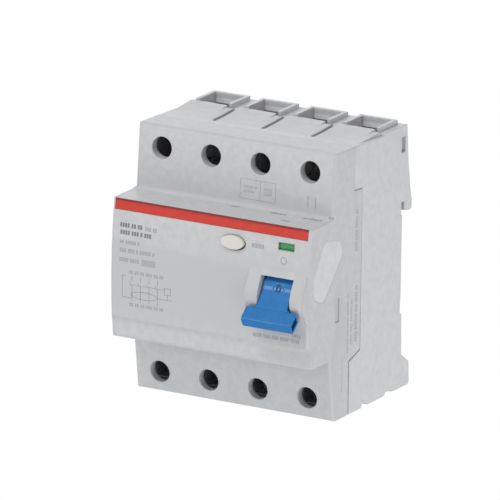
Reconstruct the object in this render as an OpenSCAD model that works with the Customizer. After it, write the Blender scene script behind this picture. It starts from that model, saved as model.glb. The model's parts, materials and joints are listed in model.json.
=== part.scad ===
// Residual current device, four poles, for a 35 mm rail.
// Frame: X to the right, front of the device towards -Y, Z up, millimetres.
// Origin: middle of the width, middle of the rail, on the rail seat plane.

/* [Housing] */
// Width of one pole module
pole_pitch = 17.5; // [17.4:0.1:17.9]
// Height of the housing over both shoulders
body_h = 85; // [85:0.5:87]
// Height of the raised nose
nose_h = 44.8; // [44:0.2:45.2]
// Side wall thickness
side_wall = 1.7; // [1.4:0.1:1.8]
// Gap between the front and rear mouldings at their seam
seam_gap = 0.12; // [0.1:0.02:0.3]

/* [Terminals] */
// Diameter of a screwdriver hole in a shoulder
screw_hole_d = 7; // [6.8:0.1:7.2]
// Diameter of a terminal screw head
screw_head_d = 6.3; // [5.8:0.1:6.5]
// Diameter of a terminal screw shank
screw_shank_d = 4.8; // [4.4:0.1:4.9]
// Width of a terminal cage
cage_w = 10.5; // [9.8:0.1:10.8]
// How far the lower terminals sit in front of the upper ones
lower_shift = 4.5; // [4:0.5:4.5]

/* [Handle] */
// Width of the handle drum
drum_w = 10.4; // [9.8:0.1:10.5]
// Width of the grip bar
grip_w = 17.4; // [15:0.2:18]
// Angle the contact bar turns between open and closed
open_angle = 22; // [20:0.5:22]

/* [Button and window] */
// Width of the test button
button_w = 8; // [7:0.2:8.4]
// Height of the test button
button_h = 4.4; // [4.2:0.2:5.4]
// Width of the position window
window_w = 5.3; // [4.6:0.1:5.6]

/* [Rail clip] */
// Width of the sliding rail clip
clip_w = 16; // [12:0.5:16]

/* [Hidden] */
$fn = 48;

// Housing
half_w = 2*pole_pitch;
inner_w = half_w - side_wall;   // half width between the side walls
top = body_h/2;
nose_top = nose_h/2;
poles = [for (i = [0:3]) (i - 1.5)*pole_pitch];
screw_x = [-pole_pitch, pole_pitch];
screw_z = [-33.5, 33.5];
nose_front = -58.6;             // foremost y of the bowed nose
bow_r = 185;
bow_y = nose_front + bow_r;     // centre of the bow
bow_z = -1;

// Terminals and contacts
upper_z = top - 6.4;            // terminal screw axes
lower_z = -top + 6.7;
low = lower_shift*[1, 1];       // taken off a y range for the lower terminals
strip_y = [-12.5, -11];
tip_z = 16.5;

// Axes along X, each [y, z]
drum_axis = [-52.3, 0];
bar_axis = [-20, 0];            // contact bar
flag_axis = [-53.5, 16.1];      // position drum
lever_axis = [-40, -5];
latch_axis = [-33, 0];

// Handle, link and crank
handle_x = 24.5;
drum_gap = 5.7;                 // half width of the handle window
link_x = [20.75, 22.25];
link_pin = drum_axis + 5.2*[-sin(19), cos(19)];
crank_r = 9;
crank_angle = 11;               // from +Z with the contact bar closed
crank = crank_r*[sin(crank_angle), cos(crank_angle)];
crank_pin = bar_axis + crank_r*[sin(crank_angle - open_angle), cos(crank_angle - open_angle)];
frame_plates = [[17.0, 17.8], [31.2, 32.0]];
lever_x = [18.4, 20.1];         // plates of the trip lever and the latch
hub_x = [18.2, 20.3];           // their hubs

// Middles of other parts
flag_x = 26.95;
button_x = 8.2;
button_z = 14.9;
ct_x = -10;                     // current transformer
ct_y = -22;
relay_x = 8;
relay_z = -12.2;

steel = [0.7, 0.7, 0.7];
spring_steel = [0.7, 0.7, 0.72];
link_steel = [0.66, 0.66, 0.64];
bronze = [0.80, 0.55, 0.32];
copper = [0.80, 0.50, 0.30];
silver = [0.85, 0.85, 0.84];

// ---- helpers; x, y and z given as pairs are ranges ----
function around(mid, half) = [mid - half, mid + half];
function span(range) = abs(range[1] - range[0]);
module box(x, y, z) translate([min(x), min(y), min(z)]) cube([span(x), span(y), span(z)]);
// side view outline (y, z) extruded over the range x
module prism_x(x) translate([min(x), 0, 0]) rotate([90, 0, 90]) linear_extrude(span(x)) children();
module at_axis(axis) translate([0, axis[0], axis[1]]) children();
module cyl_x(axis, x, d)
  translate([min(x), axis[0], axis[1]]) rotate([0, 90, 0]) cylinder(d = d, h = span(x));
module cyl_y(x, z, y, d)
  translate([x, y[0], z]) rotate([-90, 0, 0]) cylinder(d = d, h = y[1] - y[0]);

// arc points that round the corner between two neighbouring points
function round_corner(before, corner, after, radius, steps) = radius <= 0 ? [corner] :
  let(u = (before - corner)/norm(before - corner),
      v = (after - corner)/norm(after - corner),
      half = acos(u*v)/2,
      mid = corner + (u + v)/norm(u + v)*radius/sin(half),
      first = corner + u*radius/tan(half) - mid,
      last = corner + v*radius/tan(half) - mid,
      start = atan2(first[1], first[0]),
      turn = (atan2(last[1], last[0]) - start + 540) % 360 - 180)
  [for (k = [0:steps]) mid + radius*[cos(start + turn*k/steps), sin(start + turn*k/steps)]];
function flat(p) = [p[0], p[1]];
// outline with rounded corners, each point [x, y, radius]
function rounded(line, steps = 4) = let(n = len(line)) [for (i = [0:n - 1])
  each round_corner(flat(line[(i + n - 1) % n]), flat(line[i]), flat(line[(i + 1) % n]),
    line[i][2], steps)];
// corners of a convex outline moved inwards
function inset(line, depth) = let(n = len(line)) [for (i = [0:n - 1])
  let(corner = line[i],
      u = line[(i + n - 1) % n] - corner,
      v = line[(i + 1) % n] - corner,
      p = u/norm(u),
      q = v/norm(v))
  corner + (p + q)*depth/abs(p[0]*q[1] - p[1]*q[0])];
function ellipse(w, h, n = 44) = [for (i = [0:n - 1]) [w/2*cos(360*i/n), h/2*sin(360*i/n)]];

module rod(start, end, d) {
  v = end - start;
  length = norm(v);
  translate(start) rotate([0, acos(v[2]/length), atan2(v[1], v[0])])
    cylinder(d = d, h = length, $fn = 24);
}
// round conductor along a list of points
module cable(path, d) {
  for (i = [0:len(path) - 2]) rod(path[i], path[i + 1], d);
  for (i = [1:len(path) - 2]) translate(path[i]) sphere(d = d + 0.06, $fn = 24);
}
// helical spring along +Z; r is the mean radius, steps are per turn
module coil(r, wire_d, h, turns, steps = 12, sides = 5) {
  count = round(turns*steps);
  rise = h - wire_d;
  points = [for (i = [0:count])
    let(a = 360*turns*i/count, middle = [r*cos(a), r*sin(a), wire_d/2 + rise*i/count])
    for (j = [0:sides - 1]) let(b = 360*j/sides)
      middle + wire_d/2*[cos(b)*cos(a), cos(b)*sin(a), sin(b)]];
  faces = concat(
    [[for (j = [0:sides - 1]) j]],
    [[for (j = [sides - 1:-1:0]) count*sides + j]],
    [for (i = [0:count - 1], j = [0:sides - 1])
      let(k = (j + 1) % sides, here = i*sides, next = here + sides)
      each [[here + j, next + j, next + k], [here + j, next + k, here + k]]]);
  polyhedron(points, faces);
}

// ---- housing outlines, side view, each point [y, z, corner radius] ----
cover_line = [
  [-30.5, top + 0.05, 0], [-42.3, top + 0.35, 2], [-43.8, nose_top, 1.5],
  [-57.35, nose_top, 1.2], [-57.35, nose_top - 1.4, 0], [-59.6, nose_top - 1.45, 0],
  [-59.6, -12.9, 0], [-57.05, -16.5, 3], [-56.5, -nose_top, 1.3], [-44.5, -nose_top, 1.5],
  [-41.6, -top, 1.3], [-32.5, -top, 0], [-32.5, -25.2, 0], [-25.5, -23.1, 0],
  [-25.5, 28.35, 0], [-30.5, 28.65, 0]];
base_line = [
  [-30.47, top + 0.05, 0], [-23.2, top - 0.2, 0], [-11.5, top - 0.7, 0],
  [-10.9, top - 0.1, 0], [2.4, top - 0.1, 0.5], [3.5, 30.6, 0], [5.16, 20.6, 0],
  [6.06, 17.2, 0.4], [6.0, 14.6, 0.3], [4.4, 14.4, 0.3], [1.75, 14.9, 0], [1.35, 15.6, 0],
  [1.35, 17.9, 0], [-0.5, 17.9, 0], [-0.5, 13.6, 0], [0, 13.6, 0], [0, -13.6, 0],
  [-0.3, -13.6, 0], [-0.3, -17.7, 0], [0.75, -18.4, 0], [1.15, -31.6, 0],
  [5.9, -34.9, 0.4], [6.3, -41.4, 0], [5.6, -top + 0.2, 0.4], [-3.3, -top + 0.2, 0],
  [-5.6, -top + 0.6, 0], [-7, -top + 1.15, 0], [-8.8, -top + 1.15, 0],
  [-9.4, -top + 0.15, 0], [-20.2, -top + 0.15, 0], [-21.3, -top + 1.25, 0],
  [-23.3, -top + 1.25, 0], [-24.2, -top, 0], [-32.18 + seam_gap, -top, 0],
  [-32.18 + seam_gap, -25.52, 0], [-25.4 + seam_gap, -23.35, 0], [-25.5 + seam_gap, 4, 0],
  [-25.46, 22, 0], [-25.46, 28.45 + seam_gap, 0], [-30.47, 28.75 + seam_gap, 0]];
plug_line = [[-48.4, 16.9, 3.2], [-37.9, 14.6, 3.4], [-37.0, 10.2, 3],
  [-48.9, -3.0, 2.8], [-55.1, -0.2, 3.2], [-55.6, 5.8, 3.2]];

// ---- front cover ----
// side view outline limited by the bowed front with its rounded side edges
module nose_blank() {
  half = half_w + 0.01;
  intersection() {
    prism_x([-half_w, half_w]) polygon(rounded(cover_line));
    translate([0, bow_y, bow_z]) rotate([0, 90, 0]) rotate_extrude($fn = 720)
      polygon(concat([[0, -half]],
        round_corner([0, -half], [bow_r, -half], [bow_r, 0], 0.95, 5),
        round_corner([bow_r, 0], [bow_r, half], [0, half], 0.95, 5),
        [[0, half]]));
  }
}
// y of the bowed front at height z
function bow(z) = bow_y - sqrt(bow_r*bow_r - (z - bow_z)*(z - bow_z));

// cutter that rounds both side edges of a shoulder front between two points [y, z]
module shoulder_edges(start, end, r) {
  v = end - start;
  length = norm(v);
  for (s = [-1, 1]) translate([s*(half_w + 0.01), start[0], start[1]])
    rotate([-atan2(v[0], v[1]), 0, 0]) difference() {
      translate([s > 0 ? -r : -0.6, -0.6, 0]) cube([r + 0.6, r + 0.6, length]);
      translate([-s*r, r, -1]) cylinder(r = r, h = length + 2);
    }
}
// cylinders on all terminal screw axes
module screw_tubes(d, grow = 0) {
  y = [-43.6 - grow, -26.4 + grow];
  for (x = poles) {
    cyl_y(x, upper_z, y, d);
    cyl_y(x, lower_z, y - [0, lower_shift], d);
  }
}

module cover_shell() difference() {
  nose_blank();
  // rebate that takes the red band
  box(around(0, half_w - 0.9), [-61, -56.75], [18.93, nose_top + 1]);
  // shallow finger scoop to the left of the toggle
  translate([12, nose_front - 59.45, -5]) sphere(r = 60, $fn = 96);
  // inner space of the nose and of both shoulders
  prism_x([-inner_w, inner_w]) polygon([
    [-55.3, nose_top - 1.8], [-55.3, 18], [-56.5, 12], [-56.8, 0], [-56.5, -10],
    [-55.6, -14.6], [-54.9, -nose_top + 1.8], [-42.7, -nose_top + 1.8],
    [-39.9, -top + 1.6], [-20, -top + 1.6], [-20, top - 1.5], [-40.5, top - 1.5],
    [-41.9, nose_top - 1.8]]);
}

module cover_additions() {
  // collars of the screwdriver holes
  intersection() {
    screw_tubes(9.2);
    prism_x([-half_w, half_w]) polygon([[-40.0, top - 0.5], [-42, top - 0.5],
      [-43.4, nose_top], [-43.4, -nose_top], [-41, -top + 0.5], [-39.3, -top + 0.5]]);
  }
  // walls between the poles behind the shoulders
  for (x = [-pole_pitch, 0, pole_pitch]) {
    box(around(x, 0.6), [-42, -30.5], [nose_top - 1, top - 1]);
    box(around(x, 0.6), [-41, -32.8], [-top + 1, -nose_top + 1]);
  }
  // screw bosses
  for (x = screw_x, z = screw_z) cyl_y(x, z, [-41.5, z > 0 ? -30.5 : -32.5], 5.4);
  // fairings beside the handle
  for (outer = [-10, 10.1])
    prism_x([handle_x + sign(outer)*drum_gap, handle_x + outer])
      polygon(rounded([[-57.5, 7.9, 0], [-58.3, 7.9, 0], [-60.45, 3.2, 4],
        [-61.4, -0.6, 3], [-60.5, -4.0, 2], [-58.3, -7.9, 0], [-57.5, -7.9, 0]], 5));
  // bearings of the position drum
  for (x = around(flag_x, 3.55)) box(around(x, 0.3), [-56.65, -51.6], [14.2, 18.2]);
}

module cover_cuts() {
  screw_tubes(screw_hole_d, 1);
  // pilot holes of the housing screws
  for (x = screw_x, z = screw_z) cyl_y(x, z, [-39.5, -27], 2.9);
  // handle window and the space of the drum
  box(around(handle_x, drum_gap), [-64, -54], [-7.4, 6.3]);
  cyl_x(drum_axis, around(handle_x, drum_gap), 15);
  // little notch beside the window
  box([handle_x - 6.6, handle_x - 5.6], [-61.6, -60.2], [-1.4, 0.6]);
  // room and bearings of the position drum
  cyl_x(flag_axis, around(flag_x, 3.1), 7.4);
  cyl_x(flag_axis, around(flag_x, 4.15), 2.1);
  box(around(flag_x, 4.15), [flag_axis[0], -51], around(flag_axis[1], 0.95));
  // position window
  box([flag_x - window_w/2 - 0.35, flag_x + window_w/2], [-60, -54], [14.8, 17.25]);
  // hole of the test button
  translate([8.36, 0, 14.76]) rotate([90, 0, 0]) linear_extrude(70)
    polygon(ellipse(button_w + 0.46, button_h + 0.46));
  // side edges of the shoulder fronts
  shoulder_edges([-43.8, nose_top + 0.4], [-42.3, top + 0.4], 1.2);
  shoulder_edges([-41.6, -top - 0.1], [-44.5, -nose_top - 0.4], 1.2);
  // opening for an accessory, closed by the side plug
  prism_x([half_w - 8, half_w + 10]) polygon(rounded(plug_line, 5));
  // small vertical pocket on the right side
  box([half_w - 0.3, half_w + 1], [-41.2, -39], [-10.9, -3.4]);
}

module front_cover() color([0.77, 0.775, 0.78]) difference() {
  union() {
    cover_shell();
    cover_additions();
  }
  cover_cuts();
}

module red_band() color([0.80, 0.22, 0.18]) {
  back = -56.85;
  prism_x(around(0, half_w - 0.95)) polygon(concat(
    [[back, 19]],
    [for (z = [19:0.6:20.2]) [bow(z), z]],
    round_corner([bow(20.4), 20.4], [bow(21.2) + 0.05, nose_top], [back, nose_top], 0.36, 4),
    [[back, nose_top]]));
}

// plug outline with each point drawn towards the middle
function plug_inset(depth) = let(mid = [-46.6, 7.0])
  [for (p = rounded(plug_line, 5)) mid + (p - mid)*(1 - depth/norm(p - mid))];
module side_plug() color([0.83, 0.84, 0.84]) {
  prism_x([half_w - 1.5, half_w - 0.03]) polygon(plug_inset(0.02));
  prism_x([half_w - 2.2, half_w - 1.4]) difference() {
    polygon(plug_inset(0.02));
    polygon(plug_inset(0.9));
  }
}

// ---- rear base ----
// ramps on the upper face, each point [y, z above the top]
ramp_left = [[-26.2, -0.9], [-26.2, -0.12], [-20.5, 0.04], [-16, 0.36], [-12.5, 0.8],
  [-11.7, 0.88], [-11.4, 0.84], [-11.2, 0.6], [-11.2, -0.9]];
ramp_right = [[-26.2, -0.9], [-26.2, -0.12], [-20.5, 0.04], [-16, 0.34], [-13.6, 0.5],
  [-12.7, 0.46], [-12.2, 0.2], [-11.9, -0.3], [-11.9, -0.9]];
module ramp(x, line) prism_x(x) polygon([for (p = line) p + [0, top]]);

module base_shell() difference() {
  prism_x([-half_w, half_w]) polygon(rounded(base_line, 3));
  // space of the mechanism
  box([-inner_w, inner_w], [-36, -1.7], [-26.8, 26.8]);
  for (x = poles) {
    // terminal chambers
    box(around(x, 7.05), [-36, 0.6], [28.5, top - 1.9]);
    box(around(x, 7.05), [-36, -1.6], [-top + 1.9, -28.5]);
    // slots that the strips and conductors pass through
    box(around(x, 3.4), [-36, -10.6], [26, 29]);
    box(around(x, 3.4), [-36, -10.6 - lower_shift], [-29, -26]);
  }
}

module base_additions() {
  // bosses of the housing screws
  for (x = screw_x, z = screw_z) cyl_y(x, z, [-26.9, 0.9], 5.6);
  // collars of the upper cable entries, open to the front
  for (x = poles) box(around(x, 6.5), [-11, 0.2], [top - 1.2, top + 1.4]);
  // ramps that rise to the front edges of the upper cable entries
  for (i = [0:3]) {
    ramp([poles[i] - (i == 0 ? 7.9 : 8.05), poles[i] + 5.25], ramp_left);
    ramp([poles[i] + 5.2, poles[i] + (i == 3 ? 7.6 : 8.05)], ramp_right);
  }
  // bearings of the contact bar
  for (s = [-1, 1]) cyl_x(bar_axis, s*[31.2, inner_w + 0.5], 8.6);
  // posts that carry the mechanism frame; the right one joins the wall behind the cover
  box([15.6, 18.9], [-26.9, -1], [-16, -9.8]);
  box([30.4, inner_w - 0.15], [-26.9, -1], [-16, -9.8]);
  box([30.4, inner_w + 0.3], [-25, -1], [-16, -9.8]);
  // cradle of the current transformer
  for (x = [-9, 9]) box(around(ct_x + x, 1), [-7.6, -1], [-21, -10]);
  // ledge that carries the circuit board, joining the wall behind the cover
  box([-inner_w + 0.15, -31.4], [-43, -20], [-17, -15.5]);
  box([-inner_w - 0.3, -31.4], [-25, -20], [-17, -15.5]);
  // guides of the rail clip
  for (s = [-1, 1]) {
    box(s*[clip_w/2 + 0.2, clip_w/2 + 2], [0.4, 4.6], [-30, -20.5]);
    box(s*[clip_w/2 - 1.2, clip_w/2 + 2], [3.5, 4.6], [-30, -20.5]);
  }
}

module upper_entry(x) {
  box(around(x, 5.2), [-11.2, -1.1], [top - 0.4, top + 3]);
  // reliefs at the front corners of the collar
  box([x + 5.1, x + 5.8], [-11.8, -10.95], around(top, 1.2));
  box([x - 8.8, x - 6.5], [-11.25, -10.9], around(top, 1.2));
  // shaft and its tapered mouth
  box(around(x, 4.7), [-10.3, -1.7], around(top, 3));
  translate([x, 0, 0]) prism_x([-4.95, 4.95]) polygon([[-11.2, top - 0.6],
    [-10.3, top - 1.7], [-1.7, top - 1.7], [-1.1, top - 0.3], [-1.1, top + 1], [-11.2, top + 1]]);
}
module lower_entry(x) {
  mouth = [[-10.9, -0.1], [-10.3, 1], [-1.7, 1], [-1.1, -0.1], [-1.1, -1], [-10.9, -1]];
  box(around(x, 4.7), [-10.3, -1.7] - low, [-top - 1, -top + 3]);
  translate([x, 0, 0]) prism_x([-5.2, 5.2])
    polygon([for (p = mouth) p - [lower_shift, top]]);
}

module base_cuts() {
  // slots of the contact bar bearings and their bores
  for (s = [-1, 1]) {
    cyl_x(bar_axis, s*[31, 33.1], 4.1);
    box(s*[31, 33.1], [-30, bar_axis[0]], [-2.05, 2.05]);
  }
  // holes of the housing screws and the pockets of their heads
  for (x = screw_x, z = screw_z) {
    cyl_y(x, z, [-34, 8], 3.1);
    cyl_y(x, z, [z > 0 ? 0.2 : -1.2, 8], 5.9);
  }
  for (x = poles) {
    upper_entry(x);
    lower_entry(x);
  }
  // grooves between the poles on the upper face
  for (x = [-pole_pitch, 0, pole_pitch])
    box(around(x, 0.7), [-26.6, -10.5], [top - 1.75, top + 1]);
  // channel of the rail clip and the pocket of its spring
  box(around(0, clip_w/2 + 0.2), [1.2, 3.5], [-top - 1, -31]);
  box([-1.9, 1.9], [-0.75, 2], [-30.1, -21]);
  // hollows in the rear of the upper part
  for (x = poles) box(around(x, 5.8), [2.2, 8], [20.2, 27.6]);
  // slot at the upper rear of both sides
  for (s = [-1, 1]) box(s*[half_w - 1, half_w + 1], [-1, 1.4], [33.9, 38.8]);
}

module rear_base() color([0.74, 0.745, 0.75]) difference() {
  union() {
    base_shell();
    base_additions();
  }
  base_cuts();
}

// inserted from the rear, with a cross slot in each head
module housing_screws() color([0.62, 0.62, 0.60])
  for (x = screw_x, z = screw_z) {
    head_y = z > 0 ? 0.25 : -1.15;
    difference() {
      union() {
        cyl_y(x, z, [-36, head_y + 0.2], 2.8);
        cyl_y(x, z, [head_y, head_y + 2.2], 5.6);
      }
      for (a = [0, 90]) translate([x, 0, z]) rotate([0, a, 0])
        box([-0.45, 0.45], [head_y + 1, head_y + 3], [-1.9, 1.9]);
    }
  }

// ---- rail clip ----
module din_clip() color([0.62, 0.63, 0.63]) difference() {
  union() {
    prism_x(around(0, clip_w/2)) polygon([[1.35, -top - 1.1], [3.35, -top - 1.1],
      [3.35, -18.2], [2.5, -15.2], [1.35, -15.2]]);
    box([-5, 5], [1.35, 4.4], [-top - 1.1, -top - 0.2]);
  }
  box([-2, 2], [1, 4], [-31.6, -21.4]);
  box([-3, 3], [1, 5], [-top - 0.2, -top + 1.4]);
}
module clip_spring() color(steel) translate([0, 1.1, -30])
  coil(r = 1.35, wire_d = 0.5, h = 8.5, turns = 6);

// ---- handle ----
grip_line = [[-62.3, -2.75], [-66.1, -6.2], [-64.9, -9.3], [-61.0, -6.0]];   // [y, z]
grip_radii = [0.4, 1.0, 0.7, 0.4];
// profile of the drum's neck and of the grip bar it runs into, [y, z, radius]
neck_line = [[-54, 2, 0], [-59.1, 2.1, 0], [-60.75, -0.2, 3], [-62.3, -2.75, 1.5],
  [-66.1, -6.2, 1.0], [-64.9, -9.3, 0.7], [-61.0, -6.0, 1.2], [-57.9, -5.0, 0.6], [-54, -3, 0]];
// on the upper face of the grip bar, seen from outside: x across, y towards the drum
module on_grip() {
  slope = grip_line[0] - grip_line[1];
  translate([handle_x, grip_line[0][0], grip_line[0][1]])
    rotate([atan2(slope[1], slope[0]), 0, 0]) children();
}
module grip_bar() {
  half = grip_w/2;
  intersection() {
    prism_x(around(handle_x, half))
      polygon(rounded([for (i = [0:3]) [each grip_line[i], grip_radii[i]]], 4));
    on_grip() translate([0, 0, -6]) linear_extrude(8)
      polygon(rounded([[half, 1.2, 0], [-half, 1.2, 0], [-half, 0.1, 0],
        [-half + 0.5, 0.02, 0], [-half, -0.5, 0], [-half, -6.5, 1.3], [half, -6.5, 0.5]], 5));
  }
}
// small fillets where the neck meets the grip bar
module neck_fillets() {
  half = drum_w/2;
  difference() {
    on_grip() for (s = [-1, 1]) difference() {
      translate([min(s*(half - 0.3), s*(half + 1)), -0.3, -0.9]) cube([1.3, 1.3, 0.9]);
      translate([s*(half + 1), 1, -2]) cylinder(d = 2, h = 3);
    }
    cyl_x(drum_axis, around(handle_x, 9), 18.8);
  }
}
module handle() color([0.17, 0.50, 0.78]) difference() {
  union() {
    cyl_x(drum_axis, around(handle_x, drum_w/2), 14.4);
    prism_x(around(handle_x, drum_w/2)) polygon(rounded(neck_line, 4));
    grip_bar();
    neck_fillets();
  }
  // hollow ends of the grip bar
  for (s = [-1, 1]) prism_x([handle_x + s*(grip_w/2 - 2.4), handle_x + s*(grip_w/2 + 1)])
    polygon(inset(grip_line, 0.62));
  // bore of the axle
  cyl_x(drum_axis, around(handle_x, 6), 3.1);
  // slot of the link
  difference() {
    at_axis(drum_axis) prism_x([20.5, 22.5])
      polygon([[0, 0], [-6.4, 7.7], [0, 12], [12, 12], [12, -12], [4, -12]]);
    cyl_x(drum_axis, [20, 23], 6.4);
  }
  // bore of the link pin
  cyl_x(link_pin, [handle_x - 6, handle_x + 0.4], 2.1);
}
module handle_axle() color(steel) cyl_x(drum_axis, [16.4, 32.6], 3);
module handle_spring() color(spring_steel)
  translate([17.95, drum_axis[0], drum_axis[1]]) rotate([0, 90, 0])
    coil(r = 2.3, wire_d = 0.35, h = 1.3, turns = 2, steps = 20);
// bar from the handle to the crank of the contact bar, with its handle pin
module handle_link() color(link_steel) {
  v = crank_pin - link_pin;
  cyl_x(link_pin, [19.5, handle_x - 0.2], 2);
  difference() {
    union() {
      at_axis(link_pin) rotate([atan2(v[1], v[0]), 0, 0])
        box(link_x, [0, norm(v)], [-1.15, 1.15]);
      cyl_x(link_pin, link_x, 3.4);
      cyl_x(crank_pin, link_x, 5.2);
    }
    cyl_x(crank_pin, [20, 23], 3.5);
  }
}

// ---- position drum: green face at rest, red face below it ----
function wedge_point(angle) = -9*[cos(angle), sin(angle)];
// sector of the red face, each side widened by an angle
module red_wedge(widen) at_axis(flag_axis) prism_x([23, 31])
  polygon([[0, 0], wedge_point(42 - widen), wedge_point(70), wedge_point(98 + widen)]);
module indicator_flag() color([0.22, 0.60, 0.30]) difference() {
  union() {
    cyl_x(flag_axis, around(flag_x, 2.95), 7.1);
    cyl_x(flag_axis, around(flag_x, 4), 2);
  }
  intersection() {
    red_wedge(0.5);
    difference() {
      cyl_x(flag_axis, [23, 31], 9);
      cyl_x(flag_axis, [22.9, 31.1], 6.06);
    }
  }
}
module indicator_red_face() color([0.75, 0.15, 0.12]) intersection() {
  red_wedge(0);
  difference() {
    cyl_x(flag_axis, around(flag_x, 2.95), 7.1);
    cyl_x(flag_axis, [22.9, 31.1], 6.1);
  }
}

// ---- test button ----
module test_button() color([0.90, 0.88, 0.82]) {
  translate([button_x, -54.6, button_z]) rotate([90, 0, 0]) {
    linear_extrude(4.45) polygon(ellipse(button_w, button_h));
    // flange behind the cover
    translate([0, 0, -0.2]) linear_extrude(0.9)
      polygon(ellipse(button_w + 1.4, button_h + 0.9));
  }
  cyl_y(button_x, button_z, [-54.5, -49.2], 2.4);
}
module test_spring() color(spring_steel)
  translate([button_x, -54.3, button_z]) rotate([-90, 0, 0])
    coil(r = 1.75, wire_d = 0.4, h = 3.6, turns = 3.5);
module button_retainer() color([0.35, 0.36, 0.37]) difference() {
  union() {
    box(around(button_x, 6.2), [-50.6, -49.95], around(button_z, 3));
    for (s = [-1, 1])
      box(around(button_x + s*5.8, 0.4), [-55.3, -49.95], around(button_z, 2.5));
  }
  cyl_y(button_x, button_z, [-51, -49], 2.7);
}
module test_bridge() color(bronze) difference() {
  box(around(button_x, 4.8), [-49.15, -48.7], around(button_z, 1.3));
  cyl_y(button_x, button_z, [-50, -48], 0.8);
}
module test_contacts() color(bronze) for (x = [4.4, 12]) {
  box(around(x, 0.8), [-46.3, -45.8], [12.4, 19.2]);
  cyl_y(x, button_z, [-46.8, -46.2], 1.5);
  box(around(x, 0.8), [-45.9, -41], [18.7, 19.2]);
}
module test_resistor() color([0.55, 0.36, 0.22]) {
  cyl_x([-40, 14.5], [-11, 1], 4.4);
  cable([[0.5, -40, 14.5], [3.0, -40, 14.5], [4.4, -40, 16], [4.4, -40.5, 18.4]], 0.7);
  cable([[-10.5, -40, 14.5], [-13, -40, 14.5], [-13, -40, 8]], 0.7);
}

// ---- terminals: k = 0..3 upper, 4..7 lower, each from left to right ----
module at_terminal(k)
  translate([poles[k % 4], k < 4 ? 0 : -lower_shift, k < 4 ? upper_z : lower_z]) children();
module terminal_screw(k) color([0.66, 0.66, 0.62]) at_terminal(k) difference() {
  union() {
    cyl_y(0, 0, [-30, -26.6], screw_head_d);
    cyl_y(0, 0, [-26.7, -12.6], screw_shank_d);
  }
  // combined cross and straight slot
  rotate([0, 35, 0]) {
    box([-0.5, 0.5], [-31, -28.2], [-2.75, 2.75]);
    box([-2, 2], [-31, -28], [-0.45, 0.45]);
  }
  // groove behind the rim of the head
  difference() {
    cyl_y(0, 0, [-29.3, -28.9], 8);
    cyl_y(0, 0, [-29.4, -28.8], screw_head_d - 0.3);
  }
}
module terminal_cage(k) color([0.72, 0.70, 0.64]) at_terminal(k) difference() {
  box(around(0, cage_w/2), [-19.5, -0.9], [-4.1, 4.1]);
  box(around(0, cage_w/2 - 1.5), [-16.4, -2.5], [-5, 5]);
  cyl_y(0, 0, [-20, -16], 5);
}
module line_strips() color(copper)
  for (x = poles) box(around(x, 3.2), strip_y, [14.2, top - 2.6]);
module load_strips() color(copper)
  for (x = poles) box(around(x, 3.2), strip_y - low, [-top + 2.6, -27.4]);
// from the contact bar through the current transformer to the load strips
module load_conductors() color([0.15, 0.25, 0.60]) {
  left = ct_x - 3;
  right = ct_x + 3;
  front = ct_y - 3;
  rear = ct_y + 3;
  end_y = strip_y[0] - lower_shift - 1.5;
  end_z = -29.5;
  paths = [
    [[poles[0], -19, -5.6], [poles[0], -19, -7], [left, rear, -7], [left, rear, -24.3],
      [poles[0], rear, -24.3], [poles[0], end_y, end_z]],
    [[poles[1], -22, -5.2], [left, front, -7.2], [left, front, -24.6], [ct_x, ct_y, -25.2],
      [poles[1] - 0.6, end_y, -27.2], [poles[1], end_y, end_z]],
    [[poles[2], -19, -5.6], [poles[2], -19, -7], [right, rear, -7], [right, rear, -24.3],
      [poles[2], rear, -24.3], [poles[2], end_y, end_z]],
    [[poles[3], -22.5, -5.2], [poles[3], -24.5, -7], [right, front, -7],
      [right, front, -24.3], [poles[3], front, -24.3], [poles[3], end_y, end_z]]];
  for (path = paths) cable(path, 2.6);
}

// ---- contact bar, drawn closed and turned to open ----
module turned_open() at_axis(bar_axis) rotate([open_angle, 0, 0]) children();
module contact_carrier() color([0.25, 0.25, 0.27]) turned_open() difference() {
  union() {
    cyl_x([0, 0], [-30.9, 30.9], 9);
    cyl_x([0, 0], [-32.9, 32.9], 4);
    for (x = poles) box(around(x, 3), [-3.4, -1.4], [3, 12.5]);
    box([-3, 3], [-1.2, 1.2], [3.8, 14.5]);
    // crank of the link and its pin
    prism_x([22.5, 23.2])
      polygon([[-4, 0], crank + [-2, 1.6], crank + [2, 1.6], [3.6, 2.6]]);
    cyl_x(crank, [20.5, 22.6], 2.2);
  }
  // seats of the contact arms
  for (x = poles) box(around(x, 1.75), [2.9, 7], [-5.5, 6]);
}
module contact_arms() color([0.82, 0.52, 0.32]) turned_open()
  for (x = poles) box(around(x, 1.6), [3.0, 4.7], [-3.2, 18.6]);
module moving_contact_tips() color(silver) turned_open()
  for (x = poles) cyl_y(x, tip_z, [4.72, 6.1], 3.6);
module contact_springs() color(spring_steel) turned_open()
  for (x = poles) translate([x, -1.35, 10]) rotate([-90, 0, 0])
    coil(r = 1.6, wire_d = 0.45, h = 4.3, turns = 3.5);
module fixed_contact_tips() color(silver)
  for (x = poles) cyl_y(x, tip_z, [-13.7, -12.52], 4);
module opening_spring() color(spring_steel)
  translate([0, -22.0, 11.4]) rotate([-90, 0, 0])
    coil(r = 2.2, wire_d = 0.5, h = 20.2, turns = 10);
module arc_plates() color([0.60, 0.61, 0.62]) for (x = poles, k = [0:3]) {
  z = 20.5 + 1.7*k;
  difference() {
    box(around(x, 5), [-23, -13.2], [z, z + 0.8]);
    box(around(x, 1.6), [-24, -19], [z - 0.5, z + 1.5]);
  }
}
module arc_chute_holders() color([0.62, 0.36, 0.26])
  for (x = poles, s = [-1, 1]) box([x + s*5.05, x + s*5.7], [-23, -13.2], [20, 26.7]);

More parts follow.
